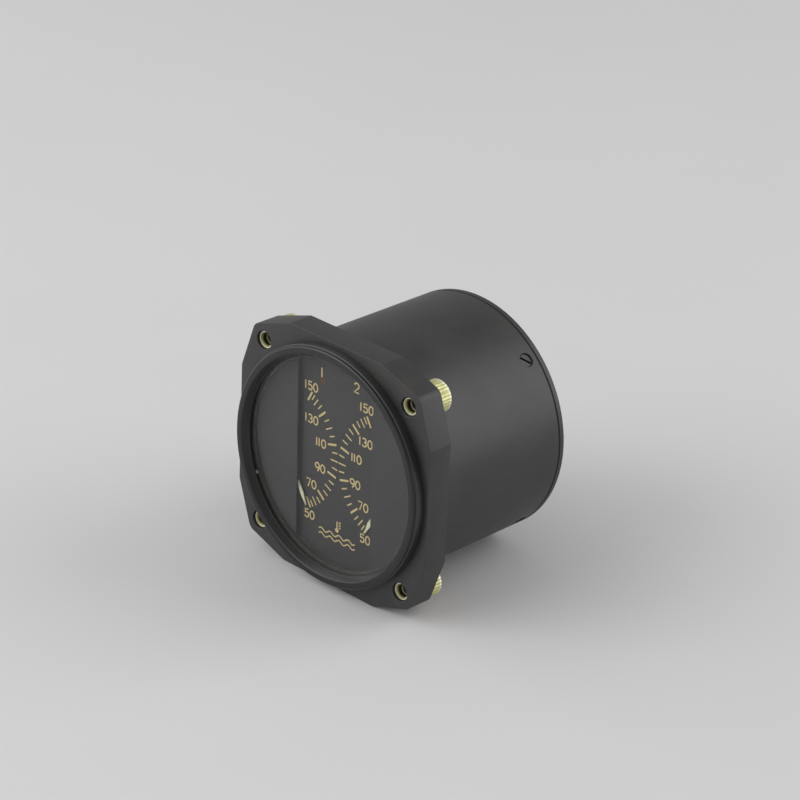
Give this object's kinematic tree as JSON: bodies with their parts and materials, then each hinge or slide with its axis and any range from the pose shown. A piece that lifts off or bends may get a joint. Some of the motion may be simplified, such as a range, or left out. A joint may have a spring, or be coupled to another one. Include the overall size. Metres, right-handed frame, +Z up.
{
  "type": "twin temperature gauge",
  "caption": "Round panel gauge with a square clipped-corner flange and two sprung needles that swing from behind half-moon masks over one scale dial.",
  "frame": {"origin": "on the axis of the collar and the case, in the plane of the flange's front face, so midway between the four panel screws", "axes": "+X to the right as the dial is read, +Y into the panel along the case, +Z up; the dial faces -Y"},
  "size_m": [0.0826, 0.0828, 0.0826],
  "materials": {
    "case_moulding": "black phenolic moulding with a worn satin skin",
    "insert_brass": "machined brass with a yellow-green passivated skin",
    "bezel_paint": "satin black enamel on aluminium, polished at the crest",
    "seal_rubber": "matt black rubber",
    "window_glass": "clear polished glass with faint dust",
    "dial_paint": "matt black instrument paint",
    "mark_paint": "aged cream luminous paint",
    "needle_paint": "aged cream luminous paint on a black stem",
    "screw_steel": "turned and slotted steel",
    "blackened_screw": "oil-blackened steel, worn at the slot",
    "brass": "turned and stamped brass",
    "magnet_alloy": "ground cast magnet alloy",
    "copper": "drawn copper",
    "stator_iron": "stacked soft iron laminations",
    "enamelled_wire": "enamelled copper wire, layer wound",
    "jewel": "polished red jewel",
    "aluminium": "machined aluminium",
    "paper_bakelite": "brown paper laminate",
    "spool_plastic": "moulded cream plastic",
    "lead_sleeve": "varnished cotton sleeving",
    "connector_plastic": "dark green moulded plastic",
    "pin_silver": "silver-plated pins"
  },
  "bodies": {
    "housing": {"case": "case_moulding", "panel_inserts": "insert_brass", "bezel_ring": "bezel_paint", "glass_seal": "seal_rubber", "glass": "window_glass", "front_spacer_ring": "dial_paint", "left_mask": "dial_paint", "right_mask": "dial_paint", "rear_spacer_ring": "dial_paint", "dial": "dial_paint", "scale_marks": "mark_paint", "dial_screws": "screw_steel", "stop_pins": "brass", "left_damping_cup": "copper", "right_damping_cup": "copper", "left_stator": "stator_iron", "right_stator": "stator_iron", "left_coils": "enamelled_wire", "right_coils": "enamelled_wire", "left_front_jewel": "jewel", "right_front_jewel": "jewel", "left_jewel_screw": "brass", "right_jewel_screw": "brass", "jewel_locknuts": "brass", "left_pull_off_magnet": "magnet_alloy", "right_pull_off_magnet": "magnet_alloy", "dial_posts": "brass", "front_plate": "brass", "rear_plate": "brass", "front_spacers": "aluminium", "rear_spacers": "aluminium", "tie_screws": "screw_steel", "board_posts": "aluminium", "terminal_board": "paper_bakelite", "board_screws": "screw_steel", "resistor_spools": "spool_plastic", "resistor_windings": "enamelled_wire", "solder_turrets": "brass", "coil_leads": "lead_sleeve", "connector_leads": "lead_sleeve", "rear_cover": "case_moulding", "cover_seal": "seal_rubber", "cover_screws": "blackened_screw", "connector_shell": "aluminium", "connector_insert": "connector_plastic", "connector_pins": "pin_silver", "connector_screws": "screw_steel"},
    "left_movement": {"left_needle": "needle_paint", "left_balance_weight": "brass", "left_staff": "screw_steel", "left_rotor_magnet": "magnet_alloy"},
    "right_movement": {"right_needle": "needle_paint", "right_balance_weight": "brass", "right_staff": "screw_steel", "right_rotor_magnet": "magnet_alloy"}
  },
  "joints": [
    {"name": "left_needle_swing", "type": "hinge", "parent": "housing", "child": "left_movement", "pos_m": [-0.023, 0.0029, -0.00048], "axis": [0, -1, 0], "range_deg": [0, 125.2], "stiffness_Nm_per_rad": 0.00002, "springref_deg": -28.65},
    {"name": "right_needle_swing", "type": "hinge", "parent": "housing", "child": "right_movement", "pos_m": [0.023, 0.0029, 0.00048], "axis": [0, 1, 0], "range_deg": [0, 125.2], "stiffness_Nm_per_rad": 0.00002, "springref_deg": -28.65}
  ]
}
